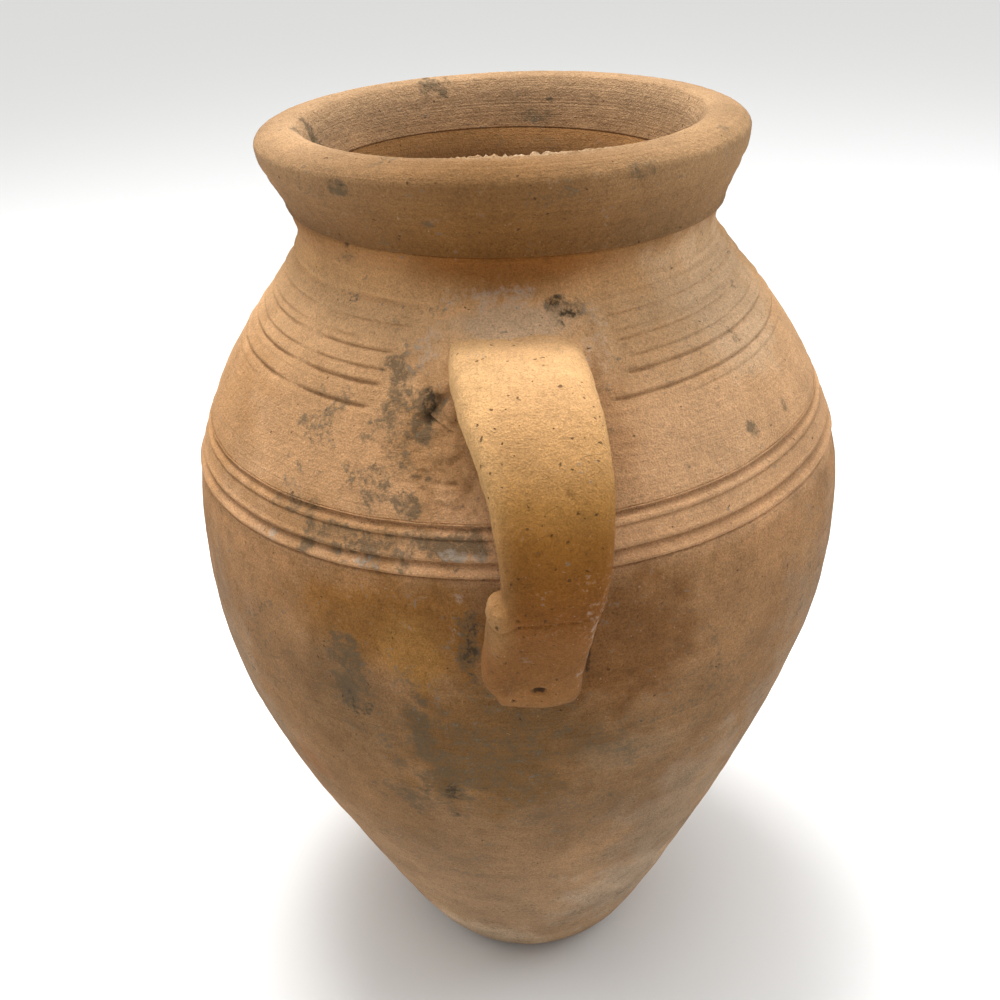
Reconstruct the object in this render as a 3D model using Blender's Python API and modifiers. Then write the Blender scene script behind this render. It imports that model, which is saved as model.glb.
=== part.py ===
"""A two-handled terracotta jar, built up the way a potter builds it.

The jar is thrown as a lower and an upper body, joined at the belly under an
applied band. A heavy collar is thrown onto the neck, and two strap handles
are luted on with pads of soft clay. Everything is in metres, +Z up, and the
origin is the centre of the underside of the foot. One handle points to -Y.
"""
import math

import bmesh
import bpy
from mathutils import Matrix, Vector

# ---- driving dimensions, in metres -------------------------------------------

JAR_HEIGHT = 0.380          # foot to the crest of the rim
BASE_RADIUS = 0.0505        # flat underside
FOOT_RADIUS = 0.0540        # just above the rounded heel
HEEL_HEIGHT = 0.0046
FOOT_SPLAY = 63.6           # degrees, slope of the wall where it leaves the heel
BELLY_RADIUS = 0.1298
BELLY_HEIGHT = 0.2293
NECK_RADIUS = 0.0782        # waist under the collar
COLLAR_HEIGHT = 0.0304      # seam under the collar, up to the crest
RIM_RADIUS = 0.0894         # widest part of the collar
RIM_DROP = 0.0055           # from the crest down to the widest part
CREST_RADIUS = 0.0770

WALL = 0.0088
FLOOR = 0.0115

BAND_BOTTOM = 0.2591
BAND_WIDTH = 0.0170
BAND_THICKNESS = 0.0034
BAND_PROUD = 0.0010         # how far the band stands out from the wall

HANDLE_TOP = 0.3190         # height where the strap leaves the shoulder
HANDLE_FOOT = 0.2240        # height where it comes back to the belly
HANDLE_REACH = 0.0235       # strap's middle line, out beyond the belly
HANDLE_BEND = 0.2840        # height of the strap's furthest point
HANDLE_LEAN = 0.0085        # sideways bow of the strap
STRAP_WIDTH = 0.0440        # at the shoulder
STRAP_THICKNESS = 0.0145
STRAP_TAPER = 0.68          # width at the belly, as a share of that at the shoulder

PAD_MARGIN = 0.0055         # luting pad, out past the strap's edges
PAD_HEIGHT = 0.0060         # how far a pad stands off the wall
PAD_SINK = 0.0035           # its middle lies this far inside the wall's surface

LAP = 0.0060                # the belly joint rises this much from inside to outside
SEAM_RISE = 0.0105          # the collar's seam rises this much from outside to inside
THROAT_RADIUS = 0.0665      # inside of the neck at the collar's seam
THROAT_FLARE = 0.0045       # the collar's mouth opens this much wider
MOUTH_DROP = 0.0090         # depth of the rounding on the mouth side of the crest
FLOOR_CURVE = 0.0120        # height of the sweep from the floor into the wall
GROOVE_DEPTH = 0.0009
BAND_GROOVES = 3
ROOT_DEPTH = 0.0050         # a strap's middle line ends this far inside the wall's surface

GAP = 0.0003                # left between pieces that touch
SEAM_GAP = 0.0004           # the same, measured along a slope
TURNED_STEPS = 64
WALL_POINTS = 9             # points along each of the two outer wall curves
ROLL_STEPS = 4
SECTION_POINTS = 14
STRAP_STEPS = 9
PAD_SEGMENTS = 24

TERRACOTTA = (0.47, 0.27, 0.13, 1.0)
STRAP_CLAY = (0.56, 0.36, 0.18, 1.0)


def clear_scene():
    for old in list(bpy.data.objects):
        bpy.data.objects.remove(old, do_unlink=True)


def collection(name):
    made = bpy.data.collections.new(name)
    bpy.context.scene.collection.children.link(made)
    return made


def clay(name, colour, roughness):
    material = bpy.data.materials.new(name)
    material.use_nodes = True
    shader = material.node_tree.nodes["Principled BSDF"]
    shader.inputs["Base Color"].default_value = colour
    shader.inputs["Roughness"].default_value = roughness
    shader.inputs["Metallic"].default_value = 0.0
    return material


# ---- outlines: (radius, height) pairs ----------------------------------------

def bezier(start, leave, arrive, end, points):
    """Points on a cubic curve, both ends included."""
    found = []
    for step in range(points):
        t = step / (points - 1)
        s = 1.0 - t
        weights = (s ** 3, 3 * s * s * t, 3 * s * t * t, t ** 3)
        found.append(tuple(sum(w * p[axis] for w, p in zip(weights, (start, leave, arrive, end)))
                           for axis in (0, 1)))
    return found


BAND_TOP = BAND_BOTTOM + BAND_WIDTH
SEAM_HEIGHT = JAR_HEIGHT - COLLAR_HEIGHT       # where the collar meets the neck
SEAM_RADIUS = NECK_RADIUS + 0.0014
WAIST_HEIGHT = SEAM_HEIGHT - 0.0068            # the neck is narrowest just below the seam


def outer_wall():
    """The outside of the jar from the heel to the waist, going up."""
    rise = BELLY_HEIGHT - HEEL_HEIGHT
    splay = math.radians(FOOT_SPLAY)
    heel = (FOOT_RADIUS, HEEL_HEIGHT)
    belly = (BELLY_RADIUS, BELLY_HEIGHT)
    waist = (NECK_RADIUS, WAIST_HEIGHT)
    leave = 0.822 * rise
    shoulder = WAIST_HEIGHT - BELLY_HEIGHT
    lower = bezier(heel,
                   (heel[0] + leave * math.cos(splay), heel[1] + leave * math.sin(splay)),
                   (belly[0], belly[1] - 0.100 * rise), belly, WALL_POINTS)
    upper = bezier(belly, (belly[0], belly[1] + 0.567 * shoulder),
                   (waist[0], waist[1] - 0.160 * shoulder), waist, WALL_POINTS)
    return lower + upper[1:]


def radius_at(height):
    wall = outer_wall()
    for (r0, z0), (r1, z1) in zip(wall, wall[1:]):
        if z0 <= height <= z1:
            return r0 + (r1 - r0) * (height - z0) / (z1 - z0)
    return wall[0][0] if height < wall[0][1] else wall[-1][0]


def wall_between(low, high, inset=0.0):
    """The outer wall from one height up to another, moved inwards by inset."""
    heights = [low] + [z for _, z in outer_wall() if low + 0.002 < z < high - 0.002] + [high]
    return [(radius_at(z) - inset, z) for z in heights]


def side_inset(height):
    """Sideways thickness that gives the wall its true thickness on a slope."""
    step = 0.002
    slope = (radius_at(height + step) - radius_at(height - step)) / (2 * step)
    return WALL * math.sqrt(1.0 + slope * slope)


def inner_between(low, high):
    return [(r - side_inset(z), z) for r, z in wall_between(low, high)]


# ---- turned pieces -----------------------------------------------------------

def turned(name, outline, home, closed=True, material=None):
    """Spin an outline round Z. It runs down the outside and up the inside."""
    profile = bmesh.new()
    corners = [profile.verts.new((radius, 0.0, height)) for radius, height in outline]
    for first, second in zip(corners, corners[1:]):
        profile.edges.new((first, second))
    if closed:
        profile.edges.new((corners[-1], corners[0]))
    mesh = bpy.data.meshes.new(name)
    profile.to_mesh(mesh)
    profile.free()
    if material:
        mesh.materials.append(material)
    piece = bpy.data.objects.new(name, mesh)
    home.objects.link(piece)
    screw = piece.modifiers.new("Turn", "SCREW")
    screw.axis = "Z"
    screw.angle = 2.0 * math.pi
    screw.steps = TURNED_STEPS
    screw.render_steps = TURNED_STEPS
    screw.use_merge_vertices = True
    screw.merge_threshold = 0.00001
    screw.use_smooth_shade = True
    return piece


def lower_body(home, material):
    """The bowl that is thrown first: foot, floor and the wall up to the belly joint."""
    top = BAND_BOTTOM - GAP
    inside = inner_between(FLOOR + FLOOR_CURVE, top - LAP)
    inner_radius = inside[0][0]
    dish = [(0.0, FLOOR), (0.60 * inner_radius, FLOOR + 0.08 * FLOOR_CURVE),
            (0.90 * inner_radius, FLOOR + 0.45 * FLOOR_CURVE)]
    heel = [(BASE_RADIUS + 0.7 * (FOOT_RADIUS - BASE_RADIUS), 0.3 * HEEL_HEIGHT),
            (BASE_RADIUS, 0.0), (0.0, 0.0)]
    outside = wall_between(HEEL_HEIGHT, top)
    up_inside = dish + inside
    down_outside = outside[::-1] + heel
    outline = (up_inside + down_outside)
    return turned("lower_body", outline, home, closed=False, material=material)


def upper_body(home, material):
    """Shoulder and neck, with a rebate for the band and a sloping top for the collar."""
    behind_band = wall_between(BAND_BOTTOM, BAND_TOP + GAP, inset=BAND_THICKNESS + GAP)
    shoulder = wall_between(BAND_TOP + GAP, WAIST_HEIGHT)
    outside = behind_band + shoulder + [(SEAM_RADIUS, SEAM_HEIGHT - SEAM_GAP)]
    inside = inner_between(BAND_BOTTOM - LAP, WAIST_HEIGHT)
    inside.append((THROAT_RADIUS, SEAM_HEIGHT + SEAM_RISE - SEAM_GAP))
    return turned("upper_body", outside[::-1] + inside, home, material=material)


def belly_band(home, material):
    """Flat clay strip over the joint of the two bodies, with three shallow grooves."""
    low = BAND_BOTTOM + GAP
    high = BAND_TOP - GAP
    steps = 2 * BAND_GROOVES + 2
    outside = [(radius_at(low), low)]
    for step in range(1, steps):
        height = low + (high - low) * step / steps
        depth = GROOVE_DEPTH if step % 2 == 0 else 0.0
        outside.append((radius_at(height) + BAND_PROUD - depth, height))
    outside.append((radius_at(high), high))
    back = wall_between(low, high, inset=BAND_THICKNESS)
    return turned("belly_band", outside[::-1] + back, home, material=material)


def collar(home, material):
    """Heavy rolled rim, flaring from its seam on the neck to a rounded crest."""
    lip_height = JAR_HEIGHT - RIM_DROP
    flare = bezier((SEAM_RADIUS, SEAM_HEIGHT),
                   (SEAM_RADIUS + 0.0060, SEAM_HEIGHT + 0.22 * COLLAR_HEIGHT),
                   (RIM_RADIUS, lip_height - 0.25 * COLLAR_HEIGHT),
                   (RIM_RADIUS, lip_height), 6)
    outer_roll = quarter_round((CREST_RADIUS, lip_height), RIM_RADIUS - CREST_RADIUS, RIM_DROP)
    mouth_radius = THROAT_RADIUS + THROAT_FLARE
    inner_roll = quarter_round((CREST_RADIUS, JAR_HEIGHT - MOUTH_DROP),
                               mouth_radius - CREST_RADIUS, MOUTH_DROP)
    down_outside = [inner_roll[-1]] + outer_roll[-2::-1] + flare[-2::-1]
    up_inside = [(THROAT_RADIUS, SEAM_HEIGHT + SEAM_RISE)] + inner_roll[:-1]
    return turned("collar", down_outside + up_inside, home, material=material)


def quarter_round(centre, across, up):
    """A quarter of an oval, from its side up to its top."""
    turns = [0.5 * math.pi * step / ROLL_STEPS for step in range(ROLL_STEPS + 1)]
    return [(centre[0] + across * math.cos(turn), centre[1] + up * math.sin(turn)) for turn in turns]


# ---- handles -----------------------------------------------------------------

def mesh_from_curve(name, curve_object, home):
    """Turn a curve into a closed mesh that can be cut, and drop the curve."""
    bpy.context.view_layer.update()
    evaluated = curve_object.evaluated_get(bpy.context.evaluated_depsgraph_get())
    mesh = bpy.data.meshes.new_from_object(evaluated)
    mesh.name = name
    surface = bmesh.new()
    surface.from_mesh(mesh)
    bmesh.ops.remove_doubles(surface, verts=surface.verts, dist=0.00001)
    bmesh.ops.recalc_face_normals(surface, faces=surface.faces)
    surface.to_mesh(mesh)
    surface.free()
    mesh.shade_smooth()
    mesh.set_sharp_from_angle(angle=math.radians(50))
    solid = bpy.data.objects.new(name, mesh)
    solid.matrix_world = curve_object.matrix_world.copy()
    home.objects.link(solid)
    bpy.data.objects.remove(curve_object, do_unlink=True)
    return solid


def strap_section(name, margin, home):
    """Closed outline of the strap: flat underneath, crowned on top."""
    half_width = 0.5 * STRAP_WIDTH + margin
    half_depth = 0.5 * STRAP_THICKNESS + margin
    curve = bpy.data.curves.new(name, "CURVE")
    curve.dimensions = "2D"
    outline = curve.splines.new("POLY")
    outline.points.add(SECTION_POINTS - 1)
    outline.use_cyclic_u = True
    for index, point in enumerate(outline.points):
        turn = 2.0 * math.pi * (index + 0.5) / SECTION_POINTS
        across = math.copysign(abs(math.cos(turn)) ** 0.7, math.cos(turn))
        out = math.sin(turn) if math.sin(turn) > 0 else -abs(math.sin(turn)) ** 0.5
        point.co = (half_width * across, half_depth * out, 0.0, 1.0)
    section = bpy.data.objects.new(name, curve)
    home.objects.link(section)
    return section


def strap(name, margin, guides, home):
    """Tapering strap from the shoulder out and down to the belly, on the -Y side."""
    top_radius = radius_at(HANDLE_TOP) - ROOT_DEPTH
    foot_radius = radius_at(HANDLE_FOOT) - ROOT_DEPTH
    bend_radius = BELLY_RADIUS + HANDLE_REACH
    stations = (
        # sideways, radius, height, then the pull along the strap on either side
        (0.0, top_radius, HANDLE_TOP, (0.0, 0.75 * (bend_radius - top_radius), 0.008)),
        (HANDLE_LEAN, bend_radius, HANDLE_BEND, (0.0, 0.0, -0.55 * (HANDLE_TOP - HANDLE_BEND))),
        (0.4 * HANDLE_LEAN, foot_radius, HANDLE_FOOT,
         (0.0, -0.5 * (bend_radius - foot_radius), -0.36 * (HANDLE_BEND - HANDLE_FOOT))),
    )
    curve = bpy.data.curves.new(name, "CURVE")
    curve.dimensions = "3D"
    curve.resolution_u = STRAP_STEPS
    curve.twist_mode = "MINIMUM"
    path = curve.splines.new("BEZIER")
    path.bezier_points.add(len(stations) - 1)
    for index, (point, station) in enumerate(zip(path.bezier_points, stations)):
        sideways, radius, height, pull = station
        place = Vector((sideways, -radius, height))
        pull_along = Vector((pull[0], -pull[1], pull[2]))
        point.handle_left_type = point.handle_right_type = "FREE"
        point.co = place
        point.handle_left = place - pull_along
        point.handle_right = place + pull_along
        point.radius = 1.0 + (STRAP_TAPER - 1.0) * index / (len(stations) - 1)
    curve.bevel_mode = "OBJECT"
    curve.bevel_object = strap_section(name + "_section", margin, guides)
    curve.use_fill_caps = True
    rail = bpy.data.objects.new(name + "_rail", curve)
    guides.objects.link(rail)
    section = curve.bevel_object
    solid = mesh_from_curve(name, rail, home)
    bpy.data.objects.remove(section, do_unlink=True)
    return solid


def cut(piece, cutter):
    boolean = piece.modifiers.new("Cut by " + cutter.name, "BOOLEAN")
    boolean.operation = "DIFFERENCE"
    boolean.solver = "EXACT"
    boolean.object = cutter


def luting_pad(name, height, half_width, half_height, sideways, home, material):
    """Soft clay pressed round a strap's root: a flattened ball, half sunk in the wall."""
    step = 0.004
    slope = (radius_at(height + step) - radius_at(height - step)) / (2 * step)
    lean = math.atan(-slope)
    mesh = bpy.data.meshes.new(name)
    ball = bmesh.new()
    bmesh.ops.create_uvsphere(ball, u_segments=PAD_SEGMENTS, v_segments=PAD_SEGMENTS // 2, radius=1.0)
    out = PAD_HEIGHT + PAD_SINK
    bmesh.ops.scale(ball, verts=ball.verts, vec=(half_width, out, half_height))
    bmesh.ops.rotate(ball, verts=ball.verts, cent=(0, 0, 0), matrix=Matrix.Rotation(-lean, 3, "X"))
    radius = radius_at(height) - PAD_SINK * math.cos(lean)
    bmesh.ops.translate(ball, verts=ball.verts,
                        vec=(sideways, -radius, height - PAD_SINK * math.sin(lean)))
    ball.to_mesh(mesh)
    ball.free()
    mesh.materials.append(material)
    mesh.shade_smooth()
    pad = bpy.data.objects.new(name, mesh)
    home.objects.link(pad)
    return pad


def handle(side, turn, home, cutters, envelope, strap_clay, pad_clay):
    """One strap and its two luting pads, turned about the jar's axis."""
    grip = strap(side + "_handle", 0.0, cutters, home)
    grip.data.materials.append(strap_clay)
    room = strap(side + "_strap_room", 1.5 * GAP, cutters, cutters)
    hide_cutter(room)
    top_pad = luting_pad(side + "_shoulder_pad", HANDLE_TOP,
                         0.5 * STRAP_WIDTH + PAD_MARGIN, 0.75 * STRAP_THICKNESS + PAD_MARGIN,
                         0.0, home, pad_clay)
    foot_pad = luting_pad(side + "_belly_pad", HANDLE_FOOT,
                          0.5 * STRAP_TAPER * STRAP_WIDTH + PAD_MARGIN,
                          0.85 * STRAP_THICKNESS + PAD_MARGIN,
                          0.4 * HANDLE_LEAN, home, pad_clay)
    for piece in (grip, top_pad, foot_pad):
        cut(piece, envelope)
    for piece in (top_pad, foot_pad):
        cut(piece, room)
    for piece in (grip, room, top_pad, foot_pad):
        piece.rotation_euler = (0.0, 0.0, turn)


def wall_envelope(cutters):
    """The whole outside of the jar, a gap larger, which trims what sits on it."""
    outside = [(radius + SEAM_GAP, height) for radius, height in outer_wall()]
    outline = [(0.0, WAIST_HEIGHT)] + outside[::-1] + [(0.0, HEEL_HEIGHT)]
    envelope = turned("wall_envelope", outline, cutters, closed=False)
    hide_cutter(envelope)
    return envelope


def hide_cutter(cutter):
    cutter.hide_render = True
    cutter.display_type = "WIRE"


def main():
    clear_scene()
    jar = collection("terracotta_jar")
    cutters = collection("cutters")
    body_clay = clay("terracotta", TERRACOTTA, 0.92)
    strap_clay = clay("strap_clay", STRAP_CLAY, 0.90)
    lower_body(jar, body_clay)
    upper_body(jar, body_clay)
    belly_band(jar, body_clay)
    collar(jar, body_clay)
    envelope = wall_envelope(cutters)
    for side, turn in (("front", 0.0), ("back", math.pi)):
        handle(side, turn, jar, cutters, envelope, strap_clay, body_clay)


main()
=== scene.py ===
# %% [markdown]
# # A hand-thrown jar with two strap handles
#
# The real jar is raw terracotta, fired once and never glazed. A potter threw it on a wheel in two
# halves, joined them at the belly under a grooved band, threw a heavy collar onto the neck, and
# pressed two strap handles on with soft clay. This lesson builds the same pieces with the same
# steps. The plain solids of the CAD model are the frame: they say where everything is, and each
# finished piece here takes the place of one of them.

# %% Load the plain model
import itertools
import math

import bmesh
import bpy
import numpy as np
from mathutils import Matrix, Vector


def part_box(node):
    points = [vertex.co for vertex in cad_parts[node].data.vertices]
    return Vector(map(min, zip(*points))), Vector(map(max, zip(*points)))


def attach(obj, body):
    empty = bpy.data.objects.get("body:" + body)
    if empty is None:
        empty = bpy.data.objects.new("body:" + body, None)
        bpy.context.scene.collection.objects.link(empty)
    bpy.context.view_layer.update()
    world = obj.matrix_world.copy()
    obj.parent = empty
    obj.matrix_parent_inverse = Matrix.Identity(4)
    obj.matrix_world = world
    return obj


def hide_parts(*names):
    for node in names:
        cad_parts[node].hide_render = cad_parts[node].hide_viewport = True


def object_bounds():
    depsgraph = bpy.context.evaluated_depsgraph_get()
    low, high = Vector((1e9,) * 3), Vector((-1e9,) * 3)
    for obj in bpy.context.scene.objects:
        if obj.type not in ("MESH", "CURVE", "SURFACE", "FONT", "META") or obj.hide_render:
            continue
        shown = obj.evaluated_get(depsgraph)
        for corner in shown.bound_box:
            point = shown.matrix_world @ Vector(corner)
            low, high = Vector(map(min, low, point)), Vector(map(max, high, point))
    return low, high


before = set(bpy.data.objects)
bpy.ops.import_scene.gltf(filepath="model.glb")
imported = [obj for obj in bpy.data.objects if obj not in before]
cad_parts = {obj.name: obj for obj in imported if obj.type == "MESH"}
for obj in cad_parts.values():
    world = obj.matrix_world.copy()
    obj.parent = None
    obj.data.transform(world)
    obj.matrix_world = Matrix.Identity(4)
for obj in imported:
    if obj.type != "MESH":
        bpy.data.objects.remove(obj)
cad_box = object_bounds()
print("plain pieces:", sorted(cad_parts))

# %% [markdown]
# ## Where the jar is seen from
#
# The jar is seen from close by and from above, so the mouth opens up and the foot looks small.
# The camera comes first, because every finish is seen from there. Its aim is given as three
# angles, which a short function turns into the camera's own axes. Blender works in metres here,
# and the longer tables below are written in millimetres.

# %% Camera
MM = 0.001
JAR_HEIGHT = cad_box[1].z
CAMERA_BACK = 1.1562 * JAR_HEIGHT
CAMERA_UP = 1.2187 * JAR_HEIGHT
CAMERA_TURN = -0.0162
CAMERA_DOWN = 0.5087
CAMERA_ROLL = -0.0469
CAMERA_LENS = 42.22


def aimed(turn, down, roll):
    """The camera's right, up and back axes as the columns of a matrix."""
    forward = Vector((math.sin(turn) * math.cos(down), math.cos(turn) * math.cos(down), -math.sin(down)))
    level = forward.cross(Vector((0, 0, 1))).normalized()
    upright = level.cross(forward)
    right = level * math.cos(roll) + upright * math.sin(roll)
    up = upright * math.cos(roll) - level * math.sin(roll)
    return Matrix((right, up, -forward)).transposed()


camera = bpy.data.objects.new("camera", bpy.data.cameras.new("camera"))
bpy.context.scene.collection.objects.link(camera)
camera.data.lens = CAMERA_LENS
camera.data.clip_start = 0.01
camera.matrix_world = (Matrix.Translation((0, -CAMERA_BACK, CAMERA_UP))
                       @ aimed(CAMERA_TURN, CAMERA_DOWN, CAMERA_ROLL).to_4x4())
bpy.context.scene.camera = camera
print("camera at", tuple(round(v, 3) for v in camera.location))

# %% [markdown]
# ## The wall's own curve
#
# Every turned piece follows one smooth curve from the heel to the neck. The plain solids already
# hold it as a chain of corners, so it is read from them and smoothed, not drawn again. A face
# that looks away from the axis belongs to the outside, and one that looks back to it to the inside.

# %% Read the wall from the plain solids
def wall_corners(node, sign, low, high):
    """Sorted (height, radius) corners of a plain solid's outer (+1) or inner (-1) faces."""
    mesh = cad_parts[node].data
    found = {}
    for face in mesh.polygons:
        away = Vector((face.center.x, face.center.y, 0)).normalized()
        if sign * face.normal.dot(away) > 0.35:
            for index in face.vertices:
                place = mesh.vertices[index].co
                if low <= place.z <= high:
                    found[round(place.z, 4)] = math.hypot(place.x, place.y)
    return sorted(found.items())


def smooth_curve(knots):
    """A function that gives the radius at any height, smooth through the knots."""
    heights, radii = (np.array(column) for column in zip(*knots))
    slopes = np.gradient(radii, heights)

    def radius(height):
        height = np.clip(height, heights[0], heights[-1])
        at = np.clip(np.searchsorted(heights, height) - 1, 0, len(heights) - 2)
        span = heights[at + 1] - heights[at]
        t = (height - heights[at]) / span
        return ((2 * t ** 3 - 3 * t ** 2 + 1) * radii[at] + (3 * t ** 2 - 2 * t ** 3) * radii[at + 1]
                + (t ** 3 - 2 * t ** 2 + t) * span * slopes[at] + (t ** 3 - t ** 2) * span * slopes[at + 1])
    return radius


BAND_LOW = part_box("belly_band")[0].z
BAND_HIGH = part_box("belly_band")[1].z
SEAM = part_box("collar")[0].z
SOFT_HEEL = [(0.0, 0.0472), (0.0014, 0.0500), (0.0040, 0.0528), (0.0080, 0.0556), (0.0140, 0.0591),
             (0.0250, 0.0646), (0.0400, 0.0716)]
wall = smooth_curve(SOFT_HEEL + wall_corners("lower_body", 1, 0.050, BAND_LOW)
                    + wall_corners("upper_body", 1, BAND_HIGH + 0.0002, SEAM))
inner_wall = smooth_curve(wall_corners("lower_body", -1, 0.020, BAND_LOW - 0.008)
                          + wall_corners("upper_body", -1, BAND_LOW, SEAM - 0.004))
print("belly radius", round(float(wall(0.2293)), 4), "wall", round(float(wall(0.2) - inner_wall(0.2)), 4))

# %% [markdown]
# ## Tools for turned clay
#
# A lathe shape is an outline spun round the axis. A spin slows down as its mesh grows, so it makes
# only an eighth of the turn, which is then copied, turned and doubled three times. Joining the
# doubles welds the seams and draws the poles together. The hand-made part comes after that: each
# corner is moved a little by functions of where it is on the jar.

# %% Spin an outline
def spun(name, outline, steps, closed=True):
    """Turn (radius, height) points round Z. The outline runs down the outside and up the inside."""
    shape = bmesh.new()
    line = [shape.verts.new((radius, 0.0, height)) for radius, height in outline]
    edges = [shape.edges.new(pair) for pair in zip(line, line[1:])]
    if closed:
        edges.append(shape.edges.new((line[-1], line[0])))
    eighth = math.pi / 4
    bmesh.ops.spin(shape, geom=line + edges, cent=(0, 0, 0), axis=(0, 0, 1),
                   angle=eighth, steps=steps // 8, use_merge=False)
    for turn in (eighth, 2 * eighth, 4 * eighth):
        copied = bmesh.ops.duplicate(shape, geom=shape.verts[:] + shape.edges[:] + shape.faces[:])["geom"]
        bmesh.ops.rotate(shape, verts=[part for part in copied if isinstance(part, bmesh.types.BMVert)],
                         cent=(0, 0, 0), matrix=Matrix.Rotation(turn, 3, "Z"))
    bmesh.ops.remove_doubles(shape, verts=shape.verts, dist=0.00002)
    bmesh.ops.recalc_face_normals(shape, faces=shape.faces)
    return finished(name, shape)


def finished(name, shape):
    """Make a bmesh into a smooth-shaded object at the origin."""
    mesh = bpy.data.meshes.new(name)
    shape.to_mesh(mesh)
    shape.free()
    mesh.shade_smooth()
    piece = bpy.data.objects.new(name, mesh)
    bpy.context.scene.collection.objects.link(piece)
    print(f"{name}: {len(mesh.vertices)} corners")
    return piece


def corners_of(piece):
    """All corners of a piece as rows of x, y, z."""
    flat = np.empty(len(piece.data.vertices) * 3)
    piece.data.vertices.foreach_get("co", flat)
    return flat.reshape(-1, 3)


def put_back(piece, corners):
    piece.data.vertices.foreach_set("co", corners.ravel())
    piece.data.update()


# %% Noise and soft edges
dice = np.random.default_rng(7)
SHUFFLED = dice.permutation(256)
SLOPES = dice.normal(size=(256, 3))
SLOPES /= np.linalg.norm(SLOPES, axis=1)[:, None]


def cloud(points, size, seed=0.0):
    """Smooth noise from about -1 to 1 at each point. Its lumps are about `size` across."""
    place = points / size + seed
    cell = np.floor(place).astype(int)
    inside = place - cell
    ease = inside ** 3 * (inside * (inside * 6 - 15) + 10)
    total = np.zeros(len(place))
    for corner in itertools.product((0, 1), repeat=3):
        x, y, z = ((cell + corner) & 255).T
        slope = SLOPES[SHUFFLED[(SHUFFLED[(SHUFFLED[x] + y) & 255] + z) & 255]]
        share = np.prod(np.where(corner, ease, 1 - ease), axis=1)
        total += share * np.sum(slope * (inside - corner), axis=1)
    return 1.5 * total


def step_up(value, low, high):
    """0 below low, 1 above high, smooth between."""
    t = np.clip((value - low) / (high - low), 0, 1)
    return t * t * (3 - 2 * t)


def bell(value, middle, width):
    return np.exp(-((value - middle) / width) ** 2)


def round_the_jar(corners):
    """Azimuth in degrees from the front handle (+ to the right), radius and height."""
    x, y, z = corners.T
    return np.degrees(np.arctan2(x, -y)), np.hypot(x, y), z


def ring_points(azimuth, height, stretch):
    """Points for noise that runs round the jar in lines, with heights stretched."""
    turn = np.radians(azimuth)
    return np.stack([np.sin(turn) * 0.1, np.cos(turn) * 0.1, height * stretch], axis=1)


# %% [markdown]
# ## What the potter's hands did
#
# Nothing on the wheel runs quite true. The grooves sit a few millimetres higher on one side, the
# axis wanders, the wall carries throwing rings and lumps, and the clay round the handles is
# smeared over the grooves. Each of these is a small function of azimuth and height, so the same
# ones shape every piece, and neighbours still meet.

# %% Grooves that climb, and an axis that wanders
CLIMB_HEIGHTS = (0.0, 0.150, 0.259, 0.276, 0.305, 0.325, 0.350, 0.372)
CLIMB_ACROSS = (0.0, 0.0, 0.0025, 0.0032, 0.0018, 0.0016, -0.0017, 0.0)
CLIMB_SIDES = (0.0, 0.0, 0.0, 0.0017, 0.0018, 0.0018, 0.0004, 0.0)
AXIS_HEIGHTS = (0.0, 0.076, 0.152, 0.228, 0.304, 0.350, 0.380)
AXIS_SHIFT = (-0.0011, -0.0020, -0.0027, 0.0003, 0.0008, 0.0002, -0.0003)


def climb(azimuth, height):
    side = np.sin(np.radians(azimuth))
    return (np.interp(height, CLIMB_HEIGHTS, CLIMB_ACROSS) * side
            + np.interp(height, CLIMB_HEIGHTS, CLIMB_SIDES) * side ** 2)


axis_wander = smooth_curve(list(zip(AXIS_HEIGHTS, AXIS_SHIFT)))


def unsteady(corners):
    """Slide corners along the wall's curve where the rings climb, and bend the axis."""
    azimuth, radius, height = round_the_jar(corners)
    raised = height + climb(azimuth, height)
    moved = np.maximum(radius + wall(raised) - wall(height), 0.0)
    turn = np.radians(azimuth)
    return np.stack([moved * np.sin(turn) + axis_wander(height), -moved * np.cos(turn), raised], axis=1)


# %% Throwing rings and lumps
def throwing_rings(azimuth, height):
    broad = cloud(ring_points(azimuth, height, 1 / 0.017), 1.0, 3.1)
    narrow = cloud(ring_points(azimuth, height, 1 / 0.0055), 1.0, 9.4)
    fine = cloud(ring_points(azimuth, height, 1 / 0.0018), 1.0, 5.7)
    return 0.00028 * broad + 0.00013 * narrow + 0.00005 * fine


def lumps(corners):
    return (0.00055 * cloud(corners, 0.050, 1.7) + 0.00024 * cloud(corners, 0.016, 4.2)
            + 0.00011 * cloud(corners, 0.0055, 8.4))


def near_handle(azimuth):
    """Azimuth from the nearer handle: the back one is met the same way as the front one."""
    return np.where(np.abs(azimuth) > 90, (azimuth + 360) % 360 - 180, azimuth)


# %% Grooves on the shoulder
SHOULDER_GROOVES = (
    # mm: height, depth, half width; degrees: where it starts on the right and on the left
    (333.8, 0.85, 0.8, 19, -16),
    (327.8, 1.1, 0.6, 21, -20),
    (323, 0.8, 0.5, 22, -34),
    (320.6, 1.2, 0.6, 22, -25),
    (315.7, 0.9, 0.6, 24, -25),
    (311.8, 1.7, 0.8, 22, -26),
    (305.6, 1.4, 0.7, 18, -28),
    (302.2, 0.5, 0.5, 33, -60),
)


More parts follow.
